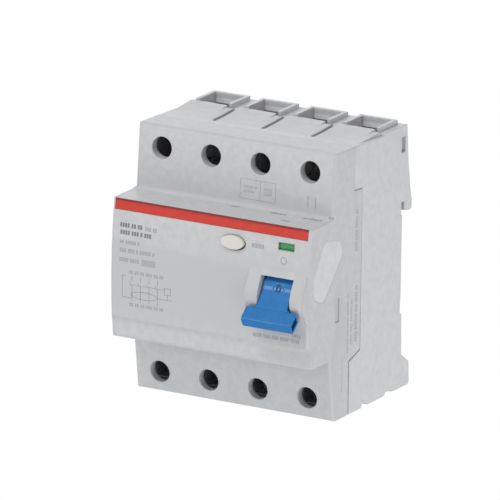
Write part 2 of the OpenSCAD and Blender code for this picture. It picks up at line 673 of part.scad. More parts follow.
// ---- current transformer, axis along z ----
module ring(outer_r, inner_r, z) translate([ct_x, ct_y, 0]) difference() {
  translate([0, 0, z[0]]) cylinder(r = outer_r, h = span(z), $fn = 72);
  translate([0, 0, z[0] - 1]) cylinder(r = inner_r, h = span(z) + 2, $fn = 72);
}
module toroid_core() color([0.35, 0.36, 0.38]) ring(14.2, 9.1, [-19.9, -11.6]);
module core_case() color([0.16, 0.16, 0.17]) difference() {
  ring(15.5, 7.8, [-21, -11.2]);
  ring(14.4, 8.9, [-20, -5]);
}
module core_case_lid() color([0.20, 0.20, 0.21]) ring(15.5, 7.8, [-11.1, -10.1]);
module secondary_winding() color([0.72, 0.38, 0.20])
  translate([ct_x, ct_y, 0]) rotate([0, 0, 100])
    rotate_extrude(angle = 110, $fn = 72) difference() {
      translate([6.9, -21.9]) square([9.5, 12.7]);
      translate([7.7, -21.1]) square([7.9, 11.1]);
    }

// ---- trip relay and latch ----
module relay_case() color([0.15, 0.15, 0.16]) difference() {
  box([-1, 13], [-54.2, -44], [-18.4, -6]);
  box([0.2, 11.8], [-53, -45.2], [-17.2, -7.2]);
  cyl_y(relay_x, relay_z, [-46, -43], 2.9);
}
module relay_coil() color([0.75, 0.40, 0.20]) difference() {
  cyl_y(relay_x, relay_z, [-52.5, -45.8], 7);
  cyl_y(relay_x, relay_z, [-50, -45], 3);
}
module relay_plunger() color(steel) cyl_y(relay_x, relay_z, [-49.6, -41.2], 2.7);
module trip_lever() color([0.60, 0.60, 0.58]) difference() {
  union() {
    cyl_x(lever_axis, hub_x, 4.4);
    box(lever_x, [-40.8, -39.4], [-13, -5]);
    // arm across to the relay plunger
    box([6.6, 20.1], [-41.1, -39.6], [-13, -11.4]);
    // upper arm and its hook
    box(lever_x, [-40.8, -39.4], [-5, 2.2]);
    box(lever_x, [-40, -38.5], [1.2, 2.2]);
  }
  cyl_x(lever_axis, [17, 21], 2.1);
}
module latch() color(link_steel) difference() {
  union() {
    cyl_x(latch_axis, hub_x, 4.4);
    prism_x(lever_x) polygon([[-33, 1.8], [-39.1, 1.0], [-39.1, -0.4], [-33, -1.8]]);
    prism_x(lever_x) polygon([[-34, -1], [-32, -1], [-31.6, -6], [-33.4, -6]]);
  }
  cyl_x(latch_axis, [17, 21], 2.1);
}
module mechanism_frame() color([0.70, 0.70, 0.68]) difference() {
  union() {
    for (x = frame_plates) prism_x(x) polygon([[-54.8, -3], [-54.8, 3], [-50, 9.6],
      [-30, 9.6], [-27, 5], [-27, -16], [-31, -16], [-31, -10], [-50, -10]]);
    box([17.0, 32.0], [-36, -28], [-10, -9.2]);
  }
  cyl_x(drum_axis, [16, 33], 3.04);
  for (axis = [lever_axis, latch_axis]) cyl_x(axis, [16, 33], 2.04);
}
module mechanism_pins() color([0.75, 0.75, 0.75])
  for (axis = [lever_axis, latch_axis]) cyl_x(axis, [16.6, 32.4], 2);
module circuit_board() color([0.12, 0.35, 0.20]) difference() {
  box([-31, -4], [-44.6, -43.2], [-15.4, 6]);
  for (x = [-28, -7]) cyl_y(x, 3, [-46, -42], 2.2);
}
module board_components() color([0.75, 0.30, 0.15]) {
  box([-28, -18], [-51, -44.65], [-13, -6]);
  for (z = [-12, -8, -4]) cyl_x([-46.4, z], [-15, -8], 2.4);
  box([-26, -20], [-47.4, -44.65], [-3, 0.5]);
}

front_cover();
rear_base();
red_band();
side_plug();
housing_screws();
din_clip();
clip_spring();
handle();
handle_axle();
handle_spring();
handle_link();
indicator_flag();
indicator_red_face();
test_button();
test_spring();
button_retainer();
test_bridge();
test_contacts();
test_resistor();
terminal_screw(0);  // terminal_screw_1
terminal_screw(1);  // terminal_screw_2
terminal_screw(2);  // terminal_screw_3
terminal_screw(3);  // terminal_screw_4
terminal_screw(4);  // terminal_screw_5
terminal_screw(5);  // terminal_screw_6
terminal_screw(6);  // terminal_screw_7
terminal_screw(7);  // terminal_screw_8
terminal_cage(0);  // terminal_cage_1
terminal_cage(1);  // terminal_cage_2
terminal_cage(2);  // terminal_cage_3
terminal_cage(3);  // terminal_cage_4
terminal_cage(4);  // terminal_cage_5
terminal_cage(5);  // terminal_cage_6
terminal_cage(6);  // terminal_cage_7
terminal_cage(7);  // terminal_cage_8
line_strips();
load_strips();
load_conductors();
contact_carrier();
contact_arms();
contact_springs();
opening_spring();
fixed_contact_tips();
moving_contact_tips();
arc_plates();
arc_chute_holders();
toroid_core();
core_case();
core_case_lid();
secondary_winding();
relay_case();
relay_coil();
relay_plunger();
trip_lever();
latch();
mechanism_frame();
mechanism_pins();
circuit_board();
board_components();
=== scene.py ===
"""A residual-current circuit breaker for a DIN rail.

It stands upright, centred on x = 0: its front faces -Y, its right side +X and its top +Z.
Shapes are given in millimetres, the stage in metres.
"""
import json
import math
import bpy
import bmesh
from mathutils import Vector, Matrix


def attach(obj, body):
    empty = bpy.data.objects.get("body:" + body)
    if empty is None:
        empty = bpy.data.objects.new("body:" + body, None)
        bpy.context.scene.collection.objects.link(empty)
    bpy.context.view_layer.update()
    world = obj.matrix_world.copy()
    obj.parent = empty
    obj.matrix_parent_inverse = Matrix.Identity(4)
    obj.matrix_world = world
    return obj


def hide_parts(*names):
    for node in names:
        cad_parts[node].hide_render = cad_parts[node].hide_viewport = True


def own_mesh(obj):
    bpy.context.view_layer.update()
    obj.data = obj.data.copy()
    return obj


MM = 0.001
HALF_WIDTH = 35.0           # of the housing
NOSE_TOP = 22.5             # height of the nose's upper face
CREASE = math.radians(32)   # edges of CAD pieces sharper than this stay sharp


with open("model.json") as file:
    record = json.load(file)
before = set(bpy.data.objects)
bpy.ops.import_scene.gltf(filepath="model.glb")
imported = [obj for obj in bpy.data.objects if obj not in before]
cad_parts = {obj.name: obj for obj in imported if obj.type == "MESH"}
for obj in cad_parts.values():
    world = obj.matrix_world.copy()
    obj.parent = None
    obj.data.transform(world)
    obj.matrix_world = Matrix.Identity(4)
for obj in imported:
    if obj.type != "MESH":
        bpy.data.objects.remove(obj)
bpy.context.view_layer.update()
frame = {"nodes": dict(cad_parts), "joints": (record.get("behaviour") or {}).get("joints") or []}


# ------------------------------------------------------------------ shader helpers
def srgb(rgb):
    """Linear colour from 0-255 sRGB values."""
    def linear(value):
        value = value / 255.0
        return value / 12.92 if value <= 0.04045 else ((value + 0.055) / 1.055) ** 2.4
    return (*map(linear, rgb), 1.0)


def tone(rgb, scale=1.0, add=0):
    """A lighter or darker version of an sRGB colour."""
    return srgb([min(255, max(0, int(value * scale) + add)) for value in rgb])


class Nodes:
    """Builds nodes in a tree. An input is given a value or the socket that drives it."""

    def __init__(self, tree):
        self.tree = tree

    def feed(self, node, inputs):
        for key, value in inputs.items():
            if isinstance(value, bpy.types.NodeSocket):
                self.tree.links.new(value, node.inputs[key])
            else:
                node.inputs[key].default_value = value

    def add(self, kind, inputs={}, **settings):
        node = self.tree.nodes.new(kind)
        for setting, value in settings.items():
            setattr(node, setting, value)
        self.feed(node, inputs)
        return node

    def remap(self, value, to, span=(0.3, 0.7), **settings):
        """Maps span, by default the middle of a noise, onto the range to."""
        return self.add("ShaderNodeMapRange", {
            "Value": value, "From Min": span[0], "From Max": span[1],
            "To Min": to[0], "To Max": to[1]}, **settings).outputs["Result"]


class Shader(Nodes):
    """The nodes of a material, read in object coordinates."""

    def __init__(self, material):
        super().__init__(material.node_tree)
        self.material = material
        self.surface = self.tree.nodes["Principled BSDF"]
        self.coords = self.add("ShaderNodeTexCoord").outputs["Object"]

    def noise(self, scale, detail, rough=0.5, stretch=None):
        vector = self.coords
        if stretch:
            vector = self.add(
                "ShaderNodeMapping", {"Vector": vector, "Scale": stretch}).outputs["Vector"]
        return self.add("ShaderNodeTexNoise", {
            "Vector": vector, "Scale": scale, "Detail": detail,
            "Roughness": rough}).outputs["Fac"]

    def mix(self, amount, under, over):
        # Sockets 0, 6 and 7 are the factor and the two colours, output 2 the mixed colour
        node = self.add("ShaderNodeMix", {0: amount, 6: under, 7: over}, data_type="RGBA")
        return node.outputs[2]

    def math(self, operation, first, second):
        return self.add("ShaderNodeMath", {0: first, 1: second}, operation=operation).outputs[0]

    def edges(self, span, amount):
        """Mask of the convex edges."""
        geometry = self.add("ShaderNodeNewGeometry")
        return self.remap(geometry.outputs["Pointiness"], span=span, to=(0.0, amount))

    def corners(self, reach_mm, span, amount):
        """Mask of the inner corners."""
        occlusion = self.add(
            "ShaderNodeAmbientOcclusion", {"Distance": reach_mm * MM}, samples=6)
        return self.remap(occlusion.outputs["AO"], span=span, to=(amount, 0.0))

    def rounded(self, radius_mm):
        """Normal that rounds off the edges."""
        return self.add("ShaderNodeBevel", {"Radius": radius_mm * MM}, samples=6).outputs["Normal"]

    def bump(self, height, normal, strength, depth_mm):
        return self.add("ShaderNodeBump", {
            "Strength": strength, "Distance": depth_mm * MM, "Height": height,
            "Normal": normal}).outputs["Normal"]


def new_shader(name):
    material = bpy.data.materials.new(name)
    material.use_nodes = True
    return Shader(material)


# ------------------------------------------------------------------ kinds of material
# The last argument sets how strongly shade is painted into the inner corners.
def plastic(name, rgb, rough=0.42, grain=1.0, edge=0.35, spec=0.45, sss=0.0,
            round_mm=0.25, tint=4, corner_shade=0.2):
    """Moulded plastic: eroded grain, faint flow marks, rubbed edges, painted shade in the corners.
    """
    shader = new_shader(name)
    dark = tone(rgb, add=-tint)
    flow = shader.noise(scale=55, detail=4, rough=0.55)
    fine = shader.noise(scale=1400, detail=2)
    color = shader.mix(shader.remap(flow, to=(0.0, 1.0)), dark, tone(rgb, add=tint))
    color = shader.mix(0.35, srgb(rgb), color)
    color = shader.mix(shader.remap(fine, span=(0.42, 0.60), to=(0.0, 0.06)), color, dark)

    rubbed = shader.edges(span=(0.505, 0.56), amount=edge)
    patches = shader.remap(
        shader.noise(scale=420, detail=5, rough=0.6), span=(0.38, 0.62), to=(0.25, 1.0))
    color = shader.mix(shader.math("MULTIPLY", rubbed, patches), color, tone(rgb, add=26))
    # Painted shade: the colour darkens in the inner corners, from an occlusion mask
    painted_corner_shade = shader.corners(reach_mm=2.2, span=(0.25, 0.9), amount=corner_shade)
    color = shader.mix(painted_corner_shade, color, tone(rgb, scale=0.62))

    cloudy = shader.noise(scale=210, detail=4, rough=0.6)
    gloss = shader.math("ADD", shader.remap(cloudy, to=(rough - 0.015, rough + 0.02)),
                        shader.remap(fine, to=(-0.02, 0.02)))
    shader.feed(shader.surface, {
        "Base Color": color, "Roughness": gloss, "Specular IOR Level": spec})
    if sss:
        shader.feed(shader.surface, {
            "Subsurface Weight": sss, "Subsurface Radius": (0.9, 0.8, 0.7),
            "Subsurface Scale": 0.6 * MM})

    # Fine grain, then slow waves, on top of the rounded edges
    normal = shader.rounded(round_mm)
    cells = shader.add("ShaderNodeTexVoronoi", {"Vector": shader.coords, "Scale": 3200})
    height = shader.math("ADD", cells.outputs["Distance"], fine)
    normal = shader.bump(height, normal, strength=0.16 * grain, depth_mm=0.02)
    normal = shader.bump(shader.noise(scale=42, detail=2), normal,
                         strength=0.022 * min(1.0, grain), depth_mm=0.12)
    shader.feed(shader.surface, {"Normal": normal})
    return shader.material


def metal(name, rgb, rough=0.34, brush=(1, 1, 1), stain=None):
    """Plated or bare metal: brush lines, mottling, bright edges, tarnish in the corners."""
    shader = new_shader(name)
    mottle = shader.noise(scale=260, detail=6, rough=0.65)
    lines = shader.noise(scale=900, detail=3, rough=0.6, stretch=brush)
    color = shader.mix(shader.remap(mottle, to=(0.0, 1.0)),
                       tone(rgb, scale=0.82), tone(rgb, scale=1.12))
    color = shader.mix(0.6, srgb(rgb), color)
    if stain:
        spots = shader.noise(scale=120, detail=5, rough=0.7)
        color = shader.mix(
            shader.remap(spots, span=(0.45, 0.75), to=(0.0, 0.45)), color, srgb(stain))
    color = shader.mix(shader.edges(span=(0.51, 0.58), amount=0.3), color, tone(rgb, add=60))
    tarnish = shader.corners(reach_mm=1.2, span=(0.2, 0.85), amount=0.5)
    color = shader.mix(tarnish, color, tone(rgb, scale=0.3))

    gloss = shader.math("ADD", shader.remap(mottle, to=(rough - 0.08, rough + 0.1)),
                        shader.remap(lines, to=(-0.08, 0.08)))
    normal = shader.bump(lines, shader.rounded(0.12), strength=0.2, depth_mm=0.02)
    shader.feed(shader.surface, {
        "Base Color": color, "Metallic": 1.0, "Roughness": gloss, "Normal": normal})
    return shader.material


def paint_shade_above(material, start, full, amount, rgb):
    """Paints shade over a material: a colour fading in from height start to full (mm)."""
    shader = Shader(material)
    old = shader.surface.inputs["Base Color"].links[0].from_socket
    height = shader.add("ShaderNodeSeparateXYZ", {0: shader.coords}).outputs["Z"]
    fade = shader.remap(height, span=(start * MM, full * MM), to=(0.0, 1.0),
                        interpolation_type="SMOOTHSTEP")
    color = shader.mix(shader.math("MULTIPLY", fade, amount), old, srgb(rgb))
    shader.feed(shader.surface, {"Base Color": color})


# ------------------------------------------------------------------ materials
PRINT = dict(rough=0.6, grain=0.4, edge=0.0, corner_shade=0.0)

MATERIALS = {
    "cover": plastic("cover_plastic", (193, 194, 196), rough=0.48, round_mm=0.5, tint=1),
    "base": plastic("base_plastic", (201, 202, 204), rough=0.50, round_mm=0.4, tint=1),
    "plug": plastic("plug_plastic", (206, 207, 209), rough=0.55, grain=0.6),
    "fairing": plastic("fairing_plastic", (193, 194, 196), rough=0.48, round_mm=0.05, tint=1),
    "red": plastic("red_print", (202, 58, 46), grain=0.5, edge=0.15, corner_shade=0.1),
    "flag red": plastic("flag_red", (190, 52, 44), rough=0.5),
    "blue": plastic("blue_plastic", (0, 108, 178), rough=0.24, grain=0.08, edge=0.3,
                    spec=0.6, sss=0.03, round_mm=0.4, tint=2),
    # Painted highlight: a lighter blue for the raised rings on the handle drum
    "blue highlight": plastic("blue_ring_highlight", (52, 142, 206), rough=0.27, grain=0.3, edge=0.2,
                          spec=0.6, round_mm=0.1),
    # Dark blue for the printed marks, and as painted shade in a thin line inside the off ring
    "blue mark and shade": plastic("blue_mark_and_shade", (12, 62, 120), rough=0.35, grain=0.3, edge=0.1, spec=0.5),
    "green": plastic("green_plastic", (66, 156, 92), grain=0.5),
    "ivory": plastic("ivory_plastic", (216, 214, 207), rough=0.34, grain=0.3, edge=0.2,
                     sss=0.08),
    "clip": plastic("clip_plastic", (158, 160, 162), rough=0.5),
    "dark": plastic("dark_plastic", (46, 47, 50), rough=0.45),
    "fibre": plastic("fibre", (140, 84, 62), rough=0.75, grain=1.6),
    "board": plastic("board", (30, 92, 54), rough=0.3, grain=0.3),
    "component": plastic("component", (150, 78, 44), rough=0.3, grain=0.2),
    "wire": plastic("wire_sleeve", (34, 52, 120), rough=0.5),
    "side print": plastic("side_print", (186, 187, 190), **PRINT),
    "grey print": plastic("grey_print", (172, 174, 177), **PRINT),
    "dark print": plastic("dark_print", (128, 130, 134), **PRINT),
    "screw": metal("zinc_screw", (172, 172, 166), rough=0.30, brush=(1, 8, 1),
                   stain=(120, 112, 92)),
    "cage": metal("zinc_cage", (182, 180, 168), rough=0.38, brush=(1, 1, 9),
                  stain=(150, 138, 104)),
    "copper": metal("copper", (204, 132, 92), brush=(1, 1, 9), stain=(120, 70, 48)),
    "silver": metal("silver_tip", (216, 216, 212), rough=0.22),
    "steel": metal("spring_steel", (170, 170, 172), rough=0.28, brush=(1, 1, 6)),
    "core": metal("core_alloy", (92, 95, 102), rough=0.35, brush=(1, 1, 12)),
}

# Painted shade: the red darkens in two steps towards its top, the second a dark line along the top
# edge
paint_shade_above(MATERIALS["red"], start=21.1, full=21.4, amount=0.22, rgb=(170, 44, 40))
paint_shade_above(MATERIALS["red"], start=21.75, full=21.95, amount=0.85, rgb=(112, 28, 32))

# CAD piece: material
LOOKS = {
    "front_cover": "cover", "rear_base": "base", "red_band": "red", "side_plug": "plug",
    "housing_screws": "screw", "din_clip": "clip", "handle": "blue",
    "indicator_flag": "green", "indicator_red_face": "flag red", "test_button": "ivory",
    "button_retainer": "dark", "test_bridge": "copper", "test_contacts": "copper",
    "test_resistor": "component", "line_strips": "copper", "load_strips": "copper",
    "load_conductors": "wire", "contact_carrier": "dark", "contact_arms": "copper",
    "fixed_contact_tips": "silver", "moving_contact_tips": "silver",
    "arc_chute_holders": "fibre", "toroid_core": "core", "core_case": "dark",
    "core_case_lid": "dark", "secondary_winding": "copper", "relay_case": "dark",
    "relay_coil": "copper", "circuit_board": "board", "board_components": "component",
}


def look(name):
    if name.startswith("terminal_screw"):
        return MATERIALS["screw"]
    if name.startswith("terminal_cage"):
        return MATERIALS["cage"]
    return MATERIALS[LOOKS.get(name, "steel")]


# ------------------------------------------------------------------ CAD pieces
EDGE_RADII = {"test_button": 0.3}   # pieces with modelled round edges


def modifier(piece, name, kind, **settings):
    added = piece.modifiers.new(name, kind)
    for setting, value in settings.items():
        setattr(added, setting, value)


def dress(name, piece):
    """Gives a CAD piece its material and clean shading."""
    piece.data.materials.clear()
    piece.data.materials.append(look(name))
    for face in piece.data.polygons:
        face.use_smooth = True
    modifier(piece, "weld", "WELD", merge_threshold=0.002 * MM)
    if name in EDGE_RADII:
        modifier(piece, "flats", "DECIMATE", decimate_type="DISSOLVE",
                 angle_limit=math.radians(0.6))
        modifier(piece, "edges", "BEVEL", width=EDGE_RADII[name] * MM, segments=3,
                 limit_method="ANGLE", angle_limit=CREASE, use_clamp_overlap=False,
                 miter_outer="MITER_ARC")
    else:
        modifier(piece, "creases", "EDGE_SPLIT", split_angle=CREASE, use_edge_sharp=False)
    modifier(piece, "shade", "WEIGHTED_NORMAL", keep_sharp=True, weight=60)


for node_name, node in frame["nodes"].items():
    dress(node_name, node)


# ------------------------------------------------------------------ new pieces
def smooth_by_angle(mesh, degrees):
    for face in mesh.polygons:
        face.use_smooth = True
    work = bmesh.new()
    work.from_mesh(mesh)
    bmesh.ops.remove_doubles(work, verts=work.verts, dist=1e-7)
    bmesh.ops.recalc_face_normals(work, faces=work.faces)
    for edge in work.edges:
        sharp = len(edge.link_faces) == 2 and edge.calc_face_angle(0) > math.radians(degrees)
        edge.smooth = not sharp
    work.to_mesh(mesh)
    work.free()


def add_piece(name, points, faces, material, body, crease=None):
    """Piece from points in mm that moves with body. Flat shaded if it has no crease angle."""
    mesh = bpy.data.meshes.new(name)
    mesh.from_pydata([Vector(point) * MM for point in points], [], faces)
    mesh.update()
    piece = bpy.data.objects.new(name, mesh)
    bpy.context.scene.collection.objects.link(piece)
    mesh.materials.append(MATERIALS[material])
    if crease is not None:
        smooth_by_angle(mesh, crease)
    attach(piece, body)
    return piece


# ------------------------------------------------------------------ marks on the handle drum
joints = {joint["name"]: joint for joint in frame["joints"]}
PIVOT = Vector(joints["handle_pivot"]["pos_m"]) / MM
DRUM_RADIUS = 7.2
MARK_ACROSS = 0.4       # both marks lie this far right of the pivot
OFF_AROUND = 2.75       # places of the marks round the drum, upwards from its front
ON_AROUND = -8.3
MARK_SINK = 0.25

# The rings are coloured a lighter blue as a painted highlight on their raised rim
# name, place round the drum, radius across, radius around, width, lift, material
MARKS = [
    ("mark_off_ring", OFF_AROUND, 2.05, 1.85, 0.42, 0.16, "blue highlight"),
    # Painted shade: a thin dark line inside the off ring
    ("mark_off_painted_shade", OFF_AROUND, 1.74, 1.54, 0.16, 0.05, "blue mark and shade"),
    ("mark_off_nought", OFF_AROUND, 0.62, 1.02, 0.62, 0.08, "blue mark and shade"),
    ("mark_on_ring", ON_AROUND, 2.05, 1.85, 0.42, 0.16, "blue highlight"),
    ("mark_on_stroke", ON_AROUND, 0.08, 0.9, 0.46, 0.08, "blue mark and shade"),
]


def on_drum(across, around, lift):
    angle = around / DRUM_RADIUS
    radius = DRUM_RADIUS + lift
    return (PIVOT.x + across, PIVOT.y - radius * math.cos(angle),
            PIVOT.z + radius * math.sin(angle))


def ring_on_drum(name, centre, radius_across, radius_around, width, lift, material):
    """A raised oval ring that follows the drum, with a rounded section."""
    steps, sides = 64, 8
    points, faces = [], []
    for i in range(steps):
        turn = 2 * math.pi * i / steps
        cos, sin = math.cos(turn), math.sin(turn)
        length = math.hypot(cos / radius_across, sin / radius_around)
        normal_across = cos / radius_across / length
        normal_around = sin / radius_around / length
        for j in range(sides):
            angle = 2 * math.pi * j / sides
            out = width / 2 * math.cos(angle)
            rise = math.sin(angle)
            points.append(on_drum(
                MARK_ACROSS + radius_across * cos + normal_across * out,
                centre + radius_around * sin + normal_around * out,
                (lift if rise > 0 else MARK_SINK) * rise))
            here, after = i * sides, (i + 1) % steps * sides
            k = (j + 1) % sides
            faces.append((here + j, here + k, after + k, after + j))
    add_piece(name, points, faces, material, "handle", crease=80)


for mark in MARKS:
    ring_on_drum(*mark)


# ------------------------------------------------------------------ springs
def coil_spring(name, node, base, way, radius, wire, length, turns):
    """Stands for a CAD coil. It runs from base along +y or +z."""
    steps, sides = 22, 9    # per turn, and round the wire
    count = int(turns * steps)
    points = []
    for i in range(count + 1):
        turn = 2 * math.pi * turns * i / count
        for j in range(sides):
            angle = 2 * math.pi * j / sides
            reach = radius + wire / 2 * math.cos(angle)
            x, y = reach * math.cos(turn), reach * math.sin(turn)
            z = wire / 2 + (length - wire) * i / count + wire / 2 * math.sin(angle)
            if way == "y":
                y, z = z, -y
            points.append((base[0] + x, base[1] + y, base[2] + z))
    faces = [tuple(range(sides)), tuple(count * sides + j for j in range(sides - 1, -1, -1))]
    for i in range(count):
        here, after = i * sides, (i + 1) * sides
        for j in range(sides):
            k = (j + 1) % sides
            faces.append((here + j, after + j, after + k, here + k))
    coil = add_piece(name, points, faces, "steel", "housing", crease=50)
    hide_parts(node)
    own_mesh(coil)


coil_spring("clip_coil", "clip_spring", base=(0, 1.1, -30), way="z", radius=1.35, wire=0.5,
            length=8.5, turns=6)
coil_spring("test_coil", "test_spring", base=(8.2, -54.3, 14.9), way="y", radius=1.75,
            wire=0.4, length=3.6, turns=3.5)
coil_spring("opening_coil", "opening_spring", base=(0, -22.0, 11.4), way="y", radius=2.2,
            wire=0.5, length=20.2, turns=10)


# ------------------------------------------------------------------ fairing round the handle
NOSE_FRONT = -58.6          # foremost y of the bowed front
BOW_RADIUS = 185
BOW_HEIGHT = -1             # z at which the bow is foremost
GAP_LEFT, GAP_RIGHT = 18.86, 30.14      # opening for the handle
GAP_TOP = 6.32
LEFT_END, RIGHT_END = 14.3, 34.97       # outer ends of the cheeks
BOTTOM, TOP = -9.0, 9.2
SHEET_FRONT, SHEET_BACK = -56.9, -56.85     # rearmost y of the front, y of the back
GAP_ROUND = 0.3             # edge radii: sides of the opening, its top, left end
BROW_ROUND = 0.25
LEFT_ROUND = 0.45
RIGHT_BEND = 33.2           # from here the right cheek curves back to its end

# z, how far the fairing stands above the bowed front
RISE = [
    (-9.0, -0.10), (-8.2, 0.0), (-7.2, 0.40), (-5.5, 1.38), (-3.6, 2.38), (-2.0, 2.95),
    (-0.5, 3.12), (1.0, 2.98), (2.9, 2.42), (4.5, 1.62), (6.1, 0.84), (7.2, 0.38),
    (8.4, 0.03), (9.2, -0.10),
]


def bow(z):
    """y of the bowed nose front at height z."""
    return NOSE_FRONT + BOW_RADIUS - math.sqrt(BOW_RADIUS * BOW_RADIUS - (z - BOW_HEIGHT) ** 2)


def smooth_curve(points, x):
    """Piecewise cubic through points with rising x, flat at peaks and dips."""
    if x <= points[0][0]:
        return points[0][1]
    if x >= points[-1][0]:
        return points[-1][1]
    pairs = list(zip(points, points[1:]))
    slopes = [(b[1] - a[1]) / (b[0] - a[0]) for a, b in pairs]
    tangents = [slopes[0]]
    for before, after in zip(slopes, slopes[1:]):
        tangents.append((before + after) / 2 if before * after > 0 else 0.0)
    tangents.append(slopes[-1])
    i = next(i for i, (_, end) in enumerate(pairs) if x <= end[0])
    start, end = pairs[i]
    width = end[0] - start[0]
    t = (x - start[0]) / width
    return ((2 * t ** 3 - 3 * t ** 2 + 1) * start[1]
            + (t ** 3 - 2 * t ** 2 + t) * width * tangents[i]
            + (-2 * t ** 3 + 3 * t ** 2) * end[1]
            + (t ** 3 - t ** 2) * width * tangents[i + 1])


def rim(distance, radius):
    """Drop of a rounded edge at a distance from it."""
    distance = min(max(distance, 0.0), radius)
    return radius - math.sqrt(max(0.0, radius * radius - (radius - distance) ** 2))


def gap_rim(distance, z):
    return rim(distance, GAP_ROUND) if z < GAP_TOP else 0.0


def cheek_left(x, z):
    return smooth_curve(RISE, z) - gap_rim(GAP_LEFT - x, z) - rim(x - LEFT_END, LEFT_ROUND)


def cheek_right(x, z):
    t = max(0.0, (x - RIGHT_BEND) / (RIGHT_END - RIGHT_BEND))
    rise = smooth_curve(RISE, z)
    bend = (1.0 - math.sqrt(max(0.0, 1.0 - t * t))) * (rise + 1.2) * 0.9
    return rise - gap_rim(x - GAP_RIGHT, z) - bend


def brow(x, z):
    return smooth_curve(RISE, z) - rim(z - GAP_TOP, BROW_ROUND)


def stations(*spans):
    """Positions along spans of (start, end, count), joined."""
    places = []
    for start, end, count in spans:
        places += [start + (end - start) * i / count for i in range(count)]
    return places + [spans[-1][1]]


def fairing(name, xs, bottom, rise):
    """Closed sheet over the bowed front. rise(x, z) is how far it stands above it."""
    zs = stations((bottom, TOP, 80))
    columns, rows = len(xs), len(zs)
    points = [(x, min(bow(z) - rise(x, z), SHEET_FRONT), z) for x in xs for z in zs]
    points += [(x, SHEET_BACK, z) for x in xs for z in zs]

    def front(i, j):
        return i * rows + j

    def back(i, j):
        return columns * rows + front(i, j)

    faces = []
    for i in range(columns - 1):
        for j in range(rows - 1):
            faces.append((front(i, j), front(i + 1, j), front(i + 1, j + 1), front(i, j + 1)))
            faces.append((back(i, j), back(i, j + 1), back(i + 1, j + 1), back(i + 1, j)))
    low, high = 0, rows - 1
    for i in range(columns - 1):
        faces.append((front(i, low), back(i, low), back(i + 1, low), front(i + 1, low)))
        faces.append((front(i, high), front(i + 1, high), back(i + 1, high), back(i, high)))
    last = columns - 1
    for j in range(rows - 1):
        faces.append((front(0, j), front(0, j + 1), back(0, j + 1), back(0, j)))
        faces.append((front(last, j), back(last, j), back(last, j + 1), front(last, j + 1)))
    add_piece(name, points, faces, "fairing", "housing", crease=40)


LEFT_XS = stations((GAP_LEFT, GAP_LEFT - GAP_ROUND, 4),
                   (GAP_LEFT - GAP_ROUND, LEFT_END + LEFT_ROUND, 6),
                   (LEFT_END + LEFT_ROUND, LEFT_END, 5))
RIGHT_XS = stations((GAP_RIGHT, GAP_RIGHT + GAP_ROUND, 4),
                    (GAP_RIGHT + GAP_ROUND, RIGHT_BEND, 4), (RIGHT_BEND, RIGHT_END, 14))
fairing("handle_fairing_left", LEFT_XS, BOTTOM, cheek_left)
fairing("handle_fairing_right", RIGHT_XS, BOTTOM, cheek_right)
fairing("handle_fairing_top", stations((GAP_LEFT, GAP_RIGHT, 6)), GAP_TOP, brow)


# ------------------------------------------------------------------ printed marks
class Print:
    """Thin raised strokes on a face. place(a, b, lift) turns face coordinates into a point."""

    LIFT, SINK = 0.025, 0.05

    def __init__(self, place):
        self.points, self.faces, self.place = [], [], place

    def slab(self, corners):
        """Closed slab over four corners (a, b)."""
        first = len(self.points)
        for lift in (self.LIFT, -self.SINK):
            self.points += [self.place(a, b, lift) for a, b in corners]
        top = list(range(first, first + 4))
        under = list(range(first + 4, first + 8))
        self.faces += [tuple(top), tuple(reversed(under))]
        for i in range(4):
            k = (i + 1) % 4
            self.faces.append((top[i], under[i], under[k], top[k]))

    def block(self, a0, a1, b0, b1):
        self.slab([(a0, b0), (a1, b0), (a1, b1), (a0, b1)])

    def line(self, width, *stops):
        """Stroke through the stops, cut into short slabs that follow the face."""
        for (a0, b0), (a1, b1) in zip(stops, stops[1:]):
            length = math.hypot(a1 - a0, b1 - b0)
            count = max(1, int(length / 1.5))
            da, db = -(b1 - b0) / length * width / 2, (a1 - a0) / length * width / 2
            cuts = [(a0 + (a1 - a0) * i / count, b0 + (b1 - b0) * i / count)
                    for i in range(count + 1)]
            for (a, b), (c, d) in zip(cuts, cuts[1:]):
                self.slab([(a + da, b + db), (c + da, d + db), (c - da, d - db), (a - da, b - db)])

    def oval(self, centre, radius_a, radius_b, width, count):
        def at(i, out):
            turn = math.radians(360.0 * i / count)
            return (centre[0] + (radius_a + out) * math.cos(turn),
                    centre[1] + (radius_b + out) * math.sin(turn))

        half = width / 2
        for i in range(count):
            self.slab([at(i, half), at(i + 1, half), at(i + 1, -half), at(i, -half)])

    def dashes(self, start, end, level, height, lengths, gap=0.55):
        """Row of dashes that repeats the given lengths."""
        i = 0
        while start < end - 0.4:
            length = min(lengths[i % len(lengths)], end - start)
            self.line(height, (start, level), (start + length, level))
            start += length + gap
            i += 1

    def words(self, *rows, gap=0.26, space=0.75):
        """Rows of blocks: start, end, level, height, blocks per word, block width."""
        for start, end, level, height, lengths, width in rows:
            i = 0
            while start < end - width:
                for _ in range(lengths[i % len(lengths)]):
                    if start > end - width:
                        break
                    self.block(start, start + width, level - height / 2, level + height / 2)
                    start += width + gap
                start += space - gap
                i += 1

    def make(self, name, material):
        add_piece(name, self.points, self.faces, material, "housing")


def on_nose(x, z, lift):
    return (x, bow(z) - lift, z)


def on_shoulder(x, z, lift):
    """Front face above the nose, which leans back by 1.5 up to z = 42.85."""
    t = (z - NOSE_TOP) / (42.85 - NOSE_TOP)
    return (x, -43.8 + 1.5 * t - lift, z)


def on_ledge(x, y, lift):
    return (x, y, NOSE_TOP + lift)


def on_right_side(z, y, lift):
    return (HALF_WIDTH + lift, y, z)


bold = Print(on_nose)
bold.words((-31.9, -23.6, 14.4, 1.35, [4, 2, 3], 0.62),
           (-31.7, -20.3, 12.1, 1.3, [4, 3, 1, 4], 0.62))
bold.make("front_print_rows", "dark print")

